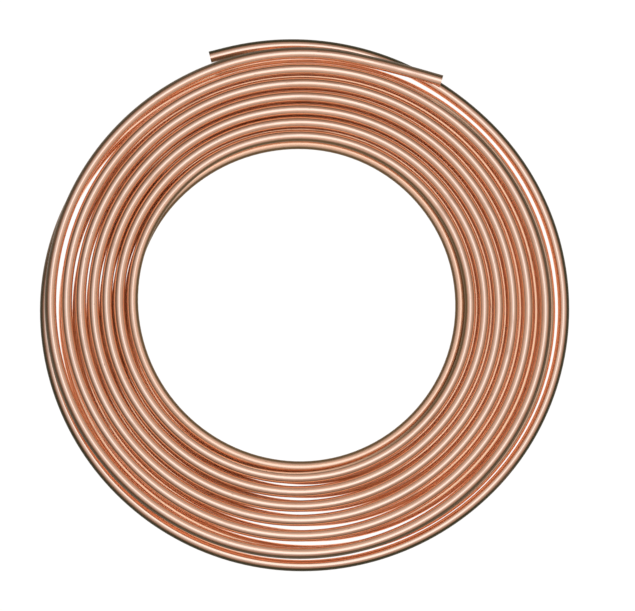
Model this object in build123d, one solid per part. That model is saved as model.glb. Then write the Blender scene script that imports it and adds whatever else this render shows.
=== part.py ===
from build123d import *
from math import asin, cos, degrees, radians
import os

os.makedirs("parts", exist_ok=True)

# Tube stock
tube_od = 9.525
tube_wall = 0.813
tube_bore = tube_od - 2 * tube_wall

# One length wound in two flat layers: the lower from the outside in, the upper from the eye out
layer_clearance = 0.3
layer_rise = tube_od + layer_clearance
climb_low_radius = 131.9
climb_high_radius = 138.9
climb_degrees = 135.0
eye_radius = 133.2
eye_degrees = 120.0

# Each layer is laid in eighths of a turn. A turn's gap is a share of the tube's diameter,
# and each eighth takes up its own share of that gap, from the eye outward. The innermost and
# outermost turns of the lower layer take theirs up in their own way.
lower_first_radius = 137.1
lower_gap_shares = (1.0, 1.12, 1.14, 1.23, 1.31, 1.11, 1.32)
lower_inner_step_shares = (0.55, -0.7, 0.3, 0.95, 0.25, 0.55, 0.95, 0.75)
lower_step_shares = (0.5, -0.05, -0.05, 1.3, 0.4, 0.45, 1.0, 0.9)
lower_outer_step_shares = (1.25, -0.6, 0.45, 0.7, 1.15, 0.4, 0.6, 1.15)
lower_wound_degrees = 2475.0
upper_first_radius = 133.7
upper_gap_shares = (1.21, 1.15, 1.18, 1.18, 1.27, 1.43)
upper_step_shares = (0.0, 0.13, 0.66, 0.61, 0.39, 0.86, 0.92, 1.12)
upper_wound_degrees = 2250.0
eighth_degrees = 360.0 / len(lower_step_shares)

# Free ends: each layer's last bend, a slack bend and a straight piece with a square cut
lower_last_radius = 243.6
lower_last_degrees = 13.1
lower_slack_radius = 222.8
lower_slack_degrees = 45.9
lower_end_heading = 14.0
upper_last_radius = 207.1
upper_last_degrees = 27.0
upper_slack_radius = 845.0
upper_slack_degrees = 4.1
end_straight = 14.0

up = Vector(0, 0, 1)


class Centreline:
    """Straights and arcs, each tangent to the last. A level arc turns to the right."""

    def __init__(self, start, heading):
        self.at, self.heading, self.edges = start, heading, []

    def add(self, edge):
        self.edges.append(edge)
        self.at, self.heading = edge @ 1, edge % 1

    def level_side(self):
        return self.heading.cross(up).normalized()

    def straight(self, length):
        self.add(Edge.make_line(self.at, self.at + self.heading * length))

    def bend(self, radius, angle, side=None):
        """Turn towards side, and return the side that the arc's end faces."""
        side = side or self.level_side()
        centre = self.at + side * radius
        frame = Plane(centre, x_dir=-side, z_dir=self.heading.cross(side))
        self.add(Edge.make_circle(radius, frame, 0, angle))
        return (centre - self.at).normalized()

    def climb(self, low_radius, high_radius, height, angle):
        """Two arcs in tilted planes, level at both ends: the second levels what the first lifts."""
        reach = (low_radius + high_radius) * (1 - cos(radians(angle / 2)))
        tilt = degrees(asin(height / reach))
        side = self.level_side().rotate(Axis((0, 0, 0), self.heading), -tilt)
        side = self.bend(low_radius, angle / 2, side)
        level = self.level_side()
        self.bend(high_radius, angle / 2, level * (2 * side.dot(level)) - side)


def layer_radii(radius, gap_shares, step_shares, wound_degrees):
    """Bend radii of a layer's eighths, from the eye outward. Turns past the tables keep the last."""
    radii = []
    for number in range(round(wound_degrees / eighth_degrees)):
        turn = min(number // len(step_shares[0]), len(gap_shares) - 1)
        steps = step_shares[min(turn, len(step_shares) - 1)]
        eighth = number % len(steps)
        gap = tube_od * gap_shares[turn]
        radii.append(radius + gap * steps[eighth])
        if eighth == len(steps) - 1:
            radius += gap
    return radii


lower_turns = [lower_inner_step_shares] + [lower_step_shares] * (len(lower_gap_shares) - 2)
lower_turns += [lower_outer_step_shares]
lower_radii = layer_radii(lower_first_radius, lower_gap_shares, lower_turns, lower_wound_degrees)
upper_radii = layer_radii(upper_first_radius, upper_gap_shares, [upper_step_shares], upper_wound_degrees)

line = Centreline(Vector(0, 0, 0), Vector(1, 0, 0).rotate(Axis.Z, lower_end_heading))
line.straight(end_straight)
line.bend(lower_slack_radius, lower_slack_degrees)
line.bend(lower_last_radius, lower_last_degrees)
for radius in reversed(lower_radii):
    line.bend(radius, eighth_degrees)
line.bend(eye_radius, eye_degrees)
line.climb(climb_low_radius, climb_high_radius, layer_rise, climb_degrees)
for radius in upper_radii:
    line.bend(radius, eighth_degrees)
line.bend(upper_last_radius, upper_last_degrees)
line.bend(upper_slack_radius, upper_slack_degrees)
line.straight(end_straight)
path = Wire(line.edges)

# The ring-shaped section is carried along the whole centreline, so the bore runs from cut to cut
section = Plane(path @ 0, z_dir=path % 0) * (Circle(tube_od / 2) - Circle(tube_bore / 2))
tube = sweep(section, path=path)

# Stand the coil on the floor, about the middle of its box
box = tube.bounding_box()
to_floor = Vector(-box.center().X, -box.center().Y, -box.min.Z)
tube = tube.translate(to_floor)
tube.label = "copper_tube"
export_step(tube, "parts/copper_tube.step")

section_area = section.area
print("tube length", round(path.length, 1), "volume over section times length",
      round(tube.volume / (section_area * path.length), 5))
print("bend radii", round(min(lower_radii + upper_radii + [climb_low_radius, eye_radius]), 1), "to",
      round(upper_slack_radius, 1), "solids", len(tube.solids()), "valid", tube.is_valid)
print("lower end", path @ 0 + to_floor, "facing", path % 0 * -1)
print("upper end", path @ 1 + to_floor, "facing", path % 1)
print("box", box.size)
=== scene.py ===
from math import asin, cos, pi, radians, sin

import bmesh
import bpy
from mathutils import Matrix, Vector


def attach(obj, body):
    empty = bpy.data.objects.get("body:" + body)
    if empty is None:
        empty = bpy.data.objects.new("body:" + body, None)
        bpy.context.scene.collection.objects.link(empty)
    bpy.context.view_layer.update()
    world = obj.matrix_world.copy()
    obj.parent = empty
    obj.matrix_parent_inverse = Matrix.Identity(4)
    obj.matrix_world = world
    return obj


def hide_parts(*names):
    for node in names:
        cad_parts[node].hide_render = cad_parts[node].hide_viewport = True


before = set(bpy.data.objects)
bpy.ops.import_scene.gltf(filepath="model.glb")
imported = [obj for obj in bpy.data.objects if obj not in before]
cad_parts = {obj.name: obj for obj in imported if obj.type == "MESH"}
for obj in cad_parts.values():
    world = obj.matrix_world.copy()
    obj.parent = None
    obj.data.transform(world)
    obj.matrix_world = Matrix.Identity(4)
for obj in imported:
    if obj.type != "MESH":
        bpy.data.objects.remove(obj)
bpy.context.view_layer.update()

MM = 0.001

# The tube and its winding, as the part is wound, in millimetres and degrees
TUBE_OD = 9.525
TUBE_WALL = 0.813
LAYER_CLEARANCE = 0.3
LAYER_RISE = TUBE_OD + LAYER_CLEARANCE
CLIMB_LOW_RADIUS = 131.9
CLIMB_HIGH_RADIUS = 138.9
CLIMB_DEGREES = 135.0
EYE_RADIUS = 133.2
EYE_DEGREES = 120.0
LOWER_FIRST_RADIUS = 137.1
LOWER_GAP_SHARES = (1.0, 1.12, 1.14, 1.23, 1.31, 1.11, 1.32)
LOWER_INNER_STEP_SHARES = (0.55, -0.7, 0.3, 0.95, 0.25, 0.55, 0.95, 0.75)
LOWER_STEP_SHARES = (0.5, -0.05, -0.05, 1.3, 0.4, 0.45, 1.0, 0.9)
LOWER_OUTER_STEP_SHARES = (1.25, -0.6, 0.45, 0.7, 1.15, 0.4, 0.6, 1.15)
LOWER_WOUND_DEGREES = 2475.0
UPPER_FIRST_RADIUS = 133.7
UPPER_GAP_SHARES = (1.21, 1.15, 1.18, 1.18, 1.27, 1.43)
UPPER_STEP_SHARES = (0.0, 0.13, 0.66, 0.61, 0.39, 0.86, 0.92, 1.12)
UPPER_WOUND_DEGREES = 2250.0
EIGHTH_DEGREES = 360.0 / len(LOWER_STEP_SHARES)

# The free ends: a straight piece each, and the bends beside it, a radius and an angle each
LOWER_END_HEADING = 14.0
LOWER_TAIL = ((222.8, 45.9), (243.6, 13.1))
UPPER_TAIL = ((207.1, 27.0), (845.0, 4.1))
END_STRAIGHT = 14.0

# How finely the tube is meshed
RING_SPACING = 6.6
TUBE_SIDES = 28
BORE_RINGS = 1400
BORE_SIDES = 12

# The photograph's frame: its width in pixels, the millimetres to a pixel, and what it is centred on
PHOTO_WIDTH = 635
MM_PER_PIXEL = 0.821
PHOTO_CENTRE = (10.6, -0.2)
CAMERA_HEIGHT = 8.0
CAMERA_SEES = 100.0
SENSOR_WIDTH = 36.0

# The floor's radius in metres and its corners, its whites, and how much of the glow the eye meets
FLOOR_RADIUS = 14.0
FLOOR_CORNERS = 96
SHEET_WHITE = (0.85, 0.85, 0.85, 1.0)
GLOW_WHITE = (1.0, 1.0, 1.0, 1.0)
GLOW_STRENGTH = 1.08
GLOW_SHARE = 0.92

# Soft oval lamps: place, width and depth in metres, and their brightness seen from below
LAMPS = {
    "wide_box": ((0.15, 0.0, 0.3), 1.28, 1.32, 0.34),
    "middle_box": ((0.17, 0.0, 0.9), 1.4, 1.4, 0.21),
    "high_box": ((0.2, 0.0, 3.0), 0.8, 2.3, 0.57),
}

# The room's brightness, from straight below to straight above
ROOM_STOPS = (
    (0.0, (0.2, 0.19, 0.175, 1.0)),
    (0.4, (0.19, 0.18, 0.17, 1.0)),
    (0.8, (0.18, 0.18, 0.18, 1.0)),
    (1.0, (0.2, 0.2, 0.2, 1.0)),
)

# Copper: bare, lined, browner on the shoulders that face out, stained, bore and cut; paler painted
# light on the sides, a painted highlight on the ridges, and olive and brown painted shade
PALE_COPPER = (0.97, 0.57, 0.4, 1.0)
WARM_COPPER = (0.94, 0.53, 0.36, 1.0)
LINED_COPPER = (0.84, 0.43, 0.27, 1.0)
# Browner copper on the shoulders that face out of the coil
OUTWARD_SHOULDER_COPPER = (0.79, 0.42, 0.27, 1.0)
# Painted light: a paler copper on the sides and between the turns, standing in for light reaching
# them
PAINTED_LIGHT_COPPER = (1.0, 0.62, 0.42, 1.0)
# Painted highlight: a paler, whiter copper along the ridges of the open faces
PAINTED_HIGHLIGHT_COPPER = (0.95, 0.7, 0.58, 1.0)
# Painted shade, olive: stands in for dark reflections on the flanks at the coil's rims and at the
# lower end
OLIVE_PAINTED_SHADE = (0.07, 0.055, 0.018, 1.0)
# Painted shade, brown: stands in for shade between the turns at the eye
BROWN_PAINTED_SHADE = (0.16, 0.088, 0.02, 1.0)
STAINED_COPPER = (0.42, 0.21, 0.12, 1.0)
BORE_COPPER = (0.66, 0.34, 0.22, 1.0)
CUT_COPPER = (0.97, 0.66, 0.5, 1.0)
SPECULAR_LEVEL = 0.15

# Roughness of the polished tube, and what each part of the finish adds to it
POLISHED = 0.06
# The painted shade and the sides with painted light are also rougher
ADDED_ROUGHNESS = {"clouds": 0.06, "lines": 0.05, "stain": 0.08, "painted_light_and_matte_sides": 0.16,
                   "painted_shade": 0.1, "bore": 0.3, "cut": 0.22}

# Where a part of the finish fades in or out along the tube, in metres from the lower end
LOWER_END_FADES = (0.015, 0.055)
OUTERMOST_FADES = (1.05, 1.35)
EYE_FLANK_STARTS = (6.95, 7.35)
LOWER_LAYER_FADES = (7.25, 8.95)
INNERMOST_BACK_STARTS = (7.65, 7.75)
INNERMOST_BACK_FADES = (8.05, 8.17)
EYE_FLANK_FADES = (8.93, 9.11)
LAST_UPPER_TURN_STARTS = (13.92, 14.04)

# Where it fades in across the tube, as shares of the outer radius up, down, outward or inward
UPPER_HALF = (0.0, 0.1)
LOWER_HALF = (0.0, -0.1)
# Where the painted shade fades in, from the middle of the tube upward
PAINTED_SHADE_HALF = (-0.1, 0.25)
# Where the painted light on the sides gives way to the open faces
PAINTED_LIGHT_SIDE_EDGE = (0.66, 0.84)
# Where the painted highlight fades in towards the ridge
RIDGE = (0.94, 1.0)
SHOULDER = (0.05, 0.4)
OUTER_FLANK = (0.36, 0.66)
EYE_FLANK = (0.42, 0.72)
INNERMOST_BACK = (0.2, 0.5)
END_FLANK = (0.2, 0.55)

# The wall's two faces as squares of their shares of the outer radius, with a narrow fade between
FACE_FADE = 0.02
OUTER_FACE = (0.96, 0.96 + FACE_FADE)
BORE_SQUARE = (1 - 2 * TUBE_WALL / TUBE_OD) ** 2
BORE_FACE = (BORE_SQUARE, BORE_SQUARE + FACE_FADE)

# How fully each painted shade covers, how much metal it hides, and how ragged its edge is
LAST_TURN_COVER = 0.88
END_COVER = 0.85
EYE_COVER = 0.95
BACK_COVER = 0.9
PAINTED_SHADE_HIDES_METAL = 0.85
PAINTED_SHADE_RAGGED = 0.16
RIDGE_RAGGED = 0.04

# Drawing lines, stains and marks: where their noise shows, how fully they cover, and their relief
NOISE_MIDDLE = 0.5
CLOUD_SHOWS = (0.35, 0.65)
STAIN_SHOWS = (0.6, 0.74)
MARK_SHOWS = (0.72, 0.78)
LINE_CONTRAST = 0.5
LINE_COVER = 0.15
STAIN_COVER = 0.25
MARK_COVER = 0.45
MARK_DEPTH = 1.5
RELIEF_STRENGTH = 0.1
RELIEF_HEIGHT = 0.0001


class Value:
    """An output of a node tree. Sums on it add Math nodes."""

    def __init__(self, tree, socket):
        self.tree, self.socket = tree, socket

    def math(self, operation, *values):
        return self.tree.node("ShaderNodeMath", {"operation": operation}, dict(enumerate(values)))

    def out(self, name):
        """Another output of the same node."""
        return Value(self.tree, self.socket.node.outputs[name])

    def __add__(self, other):
        return self.math("ADD", self, other)

    def __sub__(self, other):
        return self.math("SUBTRACT", self, other)

    def __rsub__(self, other):
        return self.math("SUBTRACT", other, self)

    def __mul__(self, other):
        return self.math("MULTIPLY", self, other)

    def __truediv__(self, other):
        return self.math("DIVIDE", self, other)

    def __abs__(self):
        return self.math("ABSOLUTE", self)

    __radd__ = __add__
    __rmul__ = __mul__


class Tree:
    """A node tree whose nodes are all made by one call."""

    def __init__(self, tree):
        self.tree = tree
        tree.nodes.clear()

    def node(self, kind, settings=None, sockets=None, out=0):
        """Make a node: its settings first, then values or links by a socket's name or number."""
        made = self.tree.nodes.new(kind)
        for key, value in (settings or {}).items():
            if key == "stops":
                self.fill_ramp(made.color_ramp, value)
            elif key == "items":
                for item in value:
                    made.capture_items.new(*item)
            else:
                setattr(made, key, value)
        for key, value in (sockets or {}).items():
            if isinstance(value, Value):
                self.tree.links.new(value.socket, made.inputs[key])
            else:
                made.inputs[key].default_value = value
        return Value(self, made.outputs[out]) if made.outputs else made

    @staticmethod
    def fill_ramp(ramp, stops):
        while len(ramp.elements) < len(stops):
            ramp.elements.new(1.0)
        for element, (place, shade) in zip(ramp.elements, stops):
            element.position, element.color = place, shade

    def fade(self, value, low, high):
        """0 at low, 1 at high, and a smooth change between."""
        return self.node("ShaderNodeMapRange", {"interpolation_type": "SMOOTHSTEP"},
                         {0: value, 1: low, 2: high, 3: 0.0, 4: 1.0})

    def blend(self, amount, one, other):
        """A colour between two others."""
        return self.node("ShaderNodeMix", {"data_type": "RGBA"},
                         {0: amount, 6: one, 7: other}, out=2)


class Centreline:
    """Points along straights and arcs, each tangent to the last. A level arc turns to the right."""

    def __init__(self, heading):
        self.at, self.heading = Vector((0, 0, 0)), heading
        self.points = [self.at.copy()]

    def level_side(self):
        return self.heading.cross(Vector((0, 0, 1))).normalized()

    def straight(self, length):
        steps = max(2, round(length / RING_SPACING))
        start = self.at.copy()
        self.points += [start + self.heading * (length * i / steps) for i in range(1, steps + 1)]
        self.at = self.points[-1].copy()

    def bend(self, radius, angle, side=None):
        """Turn towards side, and return the side that the arc's end faces."""
        side = side or self.level_side()
        centre, out = self.at + side * radius, -side
        axis = self.heading.cross(side).normalized()
        steps = max(2, round(radius * radians(angle) / RING_SPACING))
        for i in range(1, steps + 1):
            turn = Matrix.Rotation(radians(angle) * i / steps, 3, axis)
            self.points.append(centre + turn @ out * radius)
        self.at, self.heading = self.points[-1].copy(), turn @ self.heading
        return (centre - self.at).normalized()

    def climb(self, low_radius, high_radius, height, angle):
        """Two arcs in tilted planes, level at both ends."""
        reach = (low_radius + high_radius) * (1 - cos(radians(angle / 2)))
        tilt = Matrix.Rotation(-asin(height / reach), 3, self.heading)
        side = self.bend(low_radius, angle / 2, tilt @ self.level_side())
        level = self.level_side()
        self.bend(high_radius, angle / 2, level * (2 * side.dot(level)) - side)


def layer_radii(radius, gap_shares, step_shares, wound_degrees):
    """Bend radii of a layer's eighths, from the eye outward. Past the tables the last row holds."""
    radii = []
    for number in range(round(wound_degrees / EIGHTH_DEGREES)):
        turn = min(number // len(step_shares[0]), len(gap_shares) - 1)
        steps = step_shares[min(turn, len(step_shares) - 1)]
        eighth = number % len(steps)
        gap = TUBE_OD * gap_shares[turn]
        radii.append(radius + gap * steps[eighth])
        if eighth == len(steps) - 1:
            radius += gap
    return radii


def winding_points():
    """The tube's centreline from the lower end to the upper one, in millimetres."""
    heading = radians(LOWER_END_HEADING)
    line = Centreline(Vector((cos(heading), sin(heading), 0)))
    line.straight(END_STRAIGHT)
    for radius, angle in LOWER_TAIL:
        line.bend(radius, angle)
    lower_turns = [LOWER_INNER_STEP_SHARES] + [LOWER_STEP_SHARES] * (len(LOWER_GAP_SHARES) - 2)
    lower_turns += [LOWER_OUTER_STEP_SHARES]
    lower = layer_radii(LOWER_FIRST_RADIUS, LOWER_GAP_SHARES, lower_turns, LOWER_WOUND_DEGREES)
    upper = layer_radii(UPPER_FIRST_RADIUS, UPPER_GAP_SHARES, [UPPER_STEP_SHARES],
                        UPPER_WOUND_DEGREES)
    for radius in reversed(lower):
        line.bend(radius, EIGHTH_DEGREES)
    line.bend(EYE_RADIUS, EYE_DEGREES)
    line.climb(CLIMB_LOW_RADIUS, CLIMB_HIGH_RADIUS, LAYER_RISE, CLIMB_DEGREES)
    for radius in upper:
        line.bend(radius, EIGHTH_DEGREES)
    for radius, angle in UPPER_TAIL:
        line.bend(radius, angle)
    line.straight(END_STRAIGHT)
    return line.points


def centred(points):
    """The centreline in metres over the frame's origin, with the tube on the floor."""
    low = [min(p[i] for p in points) for i in range(3)]
    high = [max(p[i] for p in points) for i in range(3)]
    shift = Vector((-(low[0] + high[0]) / 2, -(low[1] + high[1]) / 2, TUBE_OD / 2 - low[2]))
    return [(p + shift) * MM for p in points]


def path_object(points):
    """An unshown curve through the points, for the tube's tree to work on."""
    curve = bpy.data.curves.new("winding", "CURVE")
    curve.dimensions = "3D"
    spline = curve.splines.new("POLY")
    spline.points.add(len(points) - 1)
    spline.points.foreach_set("co", [c for p in points for c in (*p, 1.0)])
    made = bpy.data.objects.new("winding", curve)
    bpy.context.scene.collection.objects.link(made)
    return made


def tube_tree():
    """Carry a ring section along a curve, and store each point's place on the straightened tube."""
    group = bpy.data.node_groups.new("tube along a path", "GeometryNodeTree")
    for name, kind in (("Geometry", "NodeSocketGeometry"), ("Outer Diameter", "NodeSocketFloat"),
                       ("Wall", "NodeSocketFloat"), ("Sides", "NodeSocketInt"),
                       ("Bore Sides", "NodeSocketInt"), ("Bore Rings", "NodeSocketInt"),
                       ("Material", "NodeSocketMaterial")):
        group.interface.new_socket(name, in_out="INPUT", socket_type=kind)
    group.interface.new_socket("Geometry", in_out="OUTPUT", socket_type="NodeSocketGeometry")
    tree = Tree(group)
    given = tree.node("NodeGroupInput")
    outer_radius = given.out("Outer Diameter") * 0.5
    bore_radius = outer_radius - given.out("Wall")
    upright = tree.node("GeometryNodeSetCurveNormal", {"mode": "Z_UP"},
                        {"Curve": given.out("Geometry")})
    bore_path = tree.node("GeometryNodeResampleCurve", None,
                          {"Curve": upright, "Count": given.out("Bore Rings")})

    def wall(path, radius, sides):
        """One face of the wall, with the run along it and the place around it in lay."""
        run = tree.node("GeometryNodeSplineParameter", out="Length")
        along = tree.node("GeometryNodeCaptureAttribute", {"items": [("FLOAT", "run")]},
                          {"Geometry": path, "run": run})
        ring = tree.node("GeometryNodeCurvePrimitiveCircle", None,
                         {"Resolution": sides, "Radius": radius})
        around = tree.node("GeometryNodeCaptureAttribute", {"items": [("VECTOR", "place")]},
                           {"Geometry": ring, "place": tree.node("GeometryNodeInputPosition")})
        swept = tree.node("GeometryNodeCurveToMesh", None,
                          {"Curve": along, "Profile Curve": around})
        place = tree.node("ShaderNodeSeparateXYZ", None, {"Vector": around.out("place")})
        lay = tree.node("ShaderNodeCombineXYZ", None,
                        {"X": place.out("X"), "Y": place.out("Y"), "Z": along.out("run")})
        return tree.node("GeometryNodeStoreNamedAttribute",
                         {"data_type": "FLOAT_VECTOR", "domain": "POINT"},
                         {"Geometry": swept, "Name": "lay", "Value": lay})

    outside = wall(upright, outer_radius, given.out("Sides"))
    inside = tree.node("GeometryNodeFlipFaces", None,
                       {"Mesh": wall(bore_path, bore_radius, given.out("Bore Sides"))})
    joined = tree.node("GeometryNodeJoinGeometry", None, {"Geometry": outside})
    group.links.new(inside.socket, joined.socket.node.inputs["Geometry"])
    smooth = tree.node("GeometryNodeSetShadeSmooth", None, {"Geometry": joined})
    real = tree.node("GeometryNodeRealizeInstances", None, {"Geometry": smooth})
    finished = tree.node("GeometryNodeSetMaterial", None,
                         {"Geometry": real, "Material": given.out("Material")})
    tree.node("NodeGroupOutput", None, {"Geometry": finished})
    return group


def run_tree(source, group, inputs):
    """Run a tree on an object and give its result as a plain mesh."""
    modifier = source.modifiers.new("tree", "NODES")
    modifier.node_group = group
    for item in group.interface.items_tree:
        if item.in_out == "INPUT" and item.name in inputs:
            modifier[item.identifier] = inputs[item.name]
    bpy.context.view_layer.update()
    solved = source.evaluated_get(bpy.context.evaluated_depsgraph_get())
    mesh = bpy.data.meshes.new_from_object(solved)
    bpy.data.objects.remove(source)
    return mesh


def close_ends(mesh):
    """Join the outer and the bore wall across each cut with a flat, sharp-edged ring of faces."""
    shape = bmesh.new()
    shape.from_mesh(mesh)
    rims = [e for e in shape.edges if e.is_boundary]
    first, end_size = rims[0].verts[0].co.copy(), 2 * TUBE_OD * MM
    near = [e for e in rims if (e.verts[0].co - first).length < end_size]
    far = [e for e in rims if e not in near]
    for rim in (near, far):
        middle = sum((e.verts[0].co for e in rim), Vector()) / len(rim)
        beside = [f.calc_center_median() for e in rim for f in e.link_faces]
        behind = sum(beside, Vector()) / len(rim)
        for face in bmesh.ops.bridge_loops(shape, edges=rim)["faces"]:
            face.smooth = False
            if face.normal.dot(middle - behind) < 0:
                face.normal_flip()
        for edge in rim:
            edge.smooth = False
    shape.to_mesh(mesh)
    shape.free()


def copper_finish():
    """Drawn copper: a painted highlight on the ridges, painted light on the sides, painted shade on
    flanks, dull bore, matt cuts.
    """
    material = bpy.data.materials.new("drawn_copper")
    material.use_nodes = True
    tree = Tree(material.node_tree)
    lay = tree.node("ShaderNodeAttribute", {"attribute_name": "lay"}, out="Vector")
    place = tree.node("ShaderNodeSeparateXYZ", None, {"Vector": lay})
    outward = place.out("X") / (-TUBE_OD / 2 * MM)
    upward = place.out("Y") / (-TUBE_OD / 2 * MM)
    run = place.out("Z")

    # The wall's outside is at 1, its bore further in, and the cut ends between the two
    reach = outward * outward + upward * upward
    outside = tree.fade(reach, *OUTER_FACE)
    bore = 1 - tree.fade(reach, *BORE_FACE)
    cut = 1 - outside - bore

    def noise(scale, stretch, detail=3.0):
        """Noise on the straightened tube, drawn out along it."""
        placed = tree.node("ShaderNodeMapping", None,
                           {"Vector": lay, "Scale": (scale, scale, scale / stretch)})
        return tree.node("ShaderNodeTexNoise", None,
                         {"Vector": placed, "Scale": 1.0, "Detail": detail})

    clouds = noise(scale=90.0, stretch=14.0)
    lines = noise(scale=2600.0, stretch=90.0, detail=2.0)
    breaks = noise(scale=420.0, stretch=30.0)
    stain = tree.fade(noise(scale=140.0, stretch=5.0), *STAIN_SHOWS)
    marks = tree.fade(noise(scale=620.0, stretch=3.0, detail=1.0), *MARK_SHOWS)

    # The open faces: the coil's top, its underside and the open outermost turn. Along their ridges
    # goes a painted highlight, a paler copper.
    lower = 1 - tree.fade(run, *LOWER_LAYER_FADES)
    outermost = 1 - tree.fade(run, *OUTERMOST_FADES)
    exposed = (1 - lower + outermost) * tree.fade(upward, *UPPER_HALF) \
        + lower * tree.fade(upward, *LOWER_HALF)
    highlight_ridge = tree.fade(abs(upward) + (breaks - NOISE_MIDDLE) * RIDGE_RAGGED, *RIDGE) * exposed

    # Olive painted shade, standing in for dark reflections, on the upper flanks that face out of
    # the coil, and inside the lower end
    shade_half = outside * tree.fade(upward, *PAINTED_SHADE_HALF)
    ragged = (breaks - NOISE_MIDDLE) * PAINTED_SHADE_RAGGED
    outer_turns = outermost + tree.fade(run, *LAST_UPPER_TURN_STARTS) * LAST_TURN_COVER
    outer_flank = tree.fade(outward + ragged, *OUTER_FLANK) * outer_turns
    lower_end = 1 - tree.fade(run, *LOWER_END_FADES)
    end_flank = tree.fade(ragged - outward, *END_FLANK) * lower_end
    olive_shade = shade_half * (outer_flank + end_flank * END_COVER)

    # Brown painted shade, standing in for shade between the turns, on those that face into the eye,
    # and behind the innermost turn
    eye_turns = tree.fade(run, *EYE_FLANK_STARTS) * (1 - tree.fade(run, *EYE_FLANK_FADES))
    eye_flank = tree.fade(ragged - outward, *EYE_FLANK) * eye_turns
    innermost = tree.fade(run, *INNERMOST_BACK_STARTS) \
        * (1 - tree.fade(run, *INNERMOST_BACK_FADES))
    innermost_back = tree.fade(outward + ragged, *INNERMOST_BACK) * innermost
    brown_shade = shade_half * (eye_flank * EYE_COVER + innermost_back * BACK_COVER)
    painted_shade = olive_shade + brown_shade

    # The shoulders that face out of the coil are browner. The sides, and the lower layer's top
    # between the turns, get painted light: a paler copper that stands in for light reaching them.
    shoulder = tree.fade(outward, *SHOULDER)
    painted_light_and_matte_sides = 1 - exposed * tree.fade(abs(upward), *PAINTED_LIGHT_SIDE_EDGE)

    copper = tree.blend(tree.fade(clouds, *CLOUD_SHOWS), PALE_COPPER, WARM_COPPER)
    # These blends lay painted light on the sides, a painted highlight on the ridges and painted
    # shade on the flanks
    for amount, colour in (
            ((lines - NOISE_MIDDLE) * LINE_CONTRAST + LINE_COVER, LINED_COPPER),
            (shoulder, OUTWARD_SHOULDER_COPPER), (painted_light_and_matte_sides, PAINTED_LIGHT_COPPER), (highlight_ridge, PAINTED_HIGHLIGHT_COPPER),
            (olive_shade, OLIVE_PAINTED_SHADE), (brown_shade, BROWN_PAINTED_SHADE),
            (stain * STAIN_COVER + marks * MARK_COVER, STAINED_COPPER),
            (bore, BORE_COPPER), (cut, CUT_COPPER)):
        copper = tree.blend(amount, copper, colour)
    rough = POLISHED
    for name, amount in (("clouds", clouds), ("lines", lines), ("stain", stain),
                         ("painted_light_and_matte_sides", painted_light_and_matte_sides), ("painted_shade", painted_shade), ("bore", bore),
                         ("cut", cut)):
        rough = rough + amount * ADDED_ROUGHNESS[name]
    relief = tree.node("ShaderNodeBump", None,
                       {"Strength": RELIEF_STRENGTH, "Distance": RELIEF_HEIGHT,
                        "Height": lines - marks * MARK_DEPTH}, out="Normal")
    # Where the painted shade lies, the metal is partly hidden
    metal = tree.node("ShaderNodeBsdfPrincipled", None,
                      {"Base Color": copper, "Roughness": rough,
                       "Metallic": 1 - painted_shade * PAINTED_SHADE_HIDES_METAL, "Normal": relief,
                       "Specular IOR Level": SPECULAR_LEVEL})
    tree.node("ShaderNodeOutputMaterial", None, {"Surface": metal})
    return material


def floor_finish():
    """A plain white sheet that keeps the shadow, and is as white in the metal as to the eye."""
    material = bpy.data.materials.new("white_sheet")
    material.use_nodes = True
    tree = Tree(material.node_tree)
    sheet = tree.node("ShaderNodeBsdfDiffuse", None, {"Color": SHEET_WHITE})
    glow = tree.node("ShaderNodeEmission", None, {"Color": GLOW_WHITE, "Strength": GLOW_STRENGTH})
    ray = tree.node("ShaderNodeLightPath", out="Is Camera Ray")
    seen = (ray + ray.out("Is Glossy Ray") + ray.out("Is Transmission Ray")) * GLOW_SHARE
    tree.node("ShaderNodeOutputMaterial", None,
              {"Surface": tree.node("ShaderNodeMixShader", None, {0: seen, 1: sheet, 2: glow})})
    return material


def soft_lamp(name, place, width, depth, radiance):
    """A level oval lamp that looks down, as bright as radiance from below."""
    lamp = bpy.data.lights.new(name, "AREA")
    lamp.shape = "ELLIPSE"
    lamp.size, lamp.size_y = width, depth
    lit_area = pi * width * depth / 4
    lamp.energy = radiance * pi * lit_area
    made = bpy.data.objects.new(name, lamp)
    made.location = place
    made.visible_camera = False
    bpy.context.scene.collection.objects.link(made)


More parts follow.
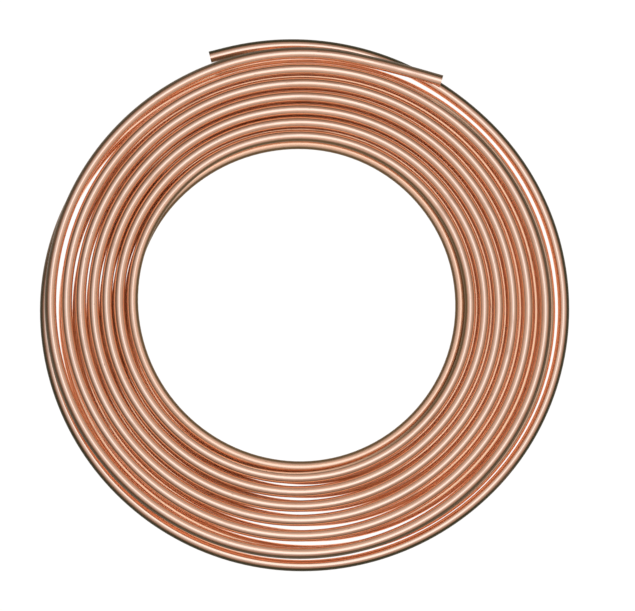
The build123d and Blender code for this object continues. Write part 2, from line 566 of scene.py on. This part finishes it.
def light_room():
    """Three soft oval boxes overhead, and an even room that is a little warmer below."""
    for name, lamp in LAMPS.items():
        soft_lamp(name, *lamp)
    world = bpy.data.worlds.new("room")
    bpy.context.scene.world = world
    world.use_nodes = True
    tree = Tree(world.node_tree)
    way = tree.node("ShaderNodeTexCoord", out="Generated")
    height = tree.node("ShaderNodeSeparateXYZ", None, {"Vector": way}, out="Z")
    room = tree.node("ShaderNodeValToRGB", {"stops": ROOM_STOPS}, {0: height})
    lit = tree.node("ShaderNodeBackground", None, {"Color": room, "Strength": 1.0})
    tree.node("ShaderNodeOutputWorld", None, {"Surface": lit})


def camera_above():
    """Look straight down, with the photograph's scale at the coil's middle height."""
    camera = bpy.data.cameras.new("camera")
    camera.sensor_width = SENSOR_WIDTH
    middle = (LAYER_RISE + TUBE_OD) / 2 * MM
    camera.lens = SENSOR_WIDTH * (CAMERA_HEIGHT - middle) / (PHOTO_WIDTH * MM_PER_PIXEL * MM)
    camera.clip_end = CAMERA_SEES
    made = bpy.data.objects.new("camera", camera)
    made.location = (PHOTO_CENTRE[0] * MM, PHOTO_CENTRE[1] * MM, CAMERA_HEIGHT)
    bpy.context.scene.collection.objects.link(made)
    bpy.context.scene.camera = made


def lay_floor():
    bpy.ops.mesh.primitive_circle_add(vertices=FLOOR_CORNERS, radius=FLOOR_RADIUS,
                                      fill_type="NGON")
    floor = bpy.context.object
    floor.name = "floor"
    floor.data.materials.append(floor_finish())


def wind_tube():
    """The whole tube as one closed mesh, in place of the plain solid."""
    path = path_object(centred(winding_points()))
    mesh = run_tree(path, tube_tree(),
                    {"Outer Diameter": TUBE_OD * MM, "Wall": TUBE_WALL * MM,
                     "Sides": TUBE_SIDES, "Bore Sides": BORE_SIDES, "Bore Rings": BORE_RINGS,
                     "Material": copper_finish()})
    close_ends(mesh)
    tube = bpy.data.objects.new("copper_tube_wound", mesh)
    bpy.context.scene.collection.objects.link(tube)
    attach(tube, "root")
    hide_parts("copper_tube")


camera_above()
light_room()
lay_floor()
wind_tube()
bpy.context.scene.view_settings.view_transform = "Standard"
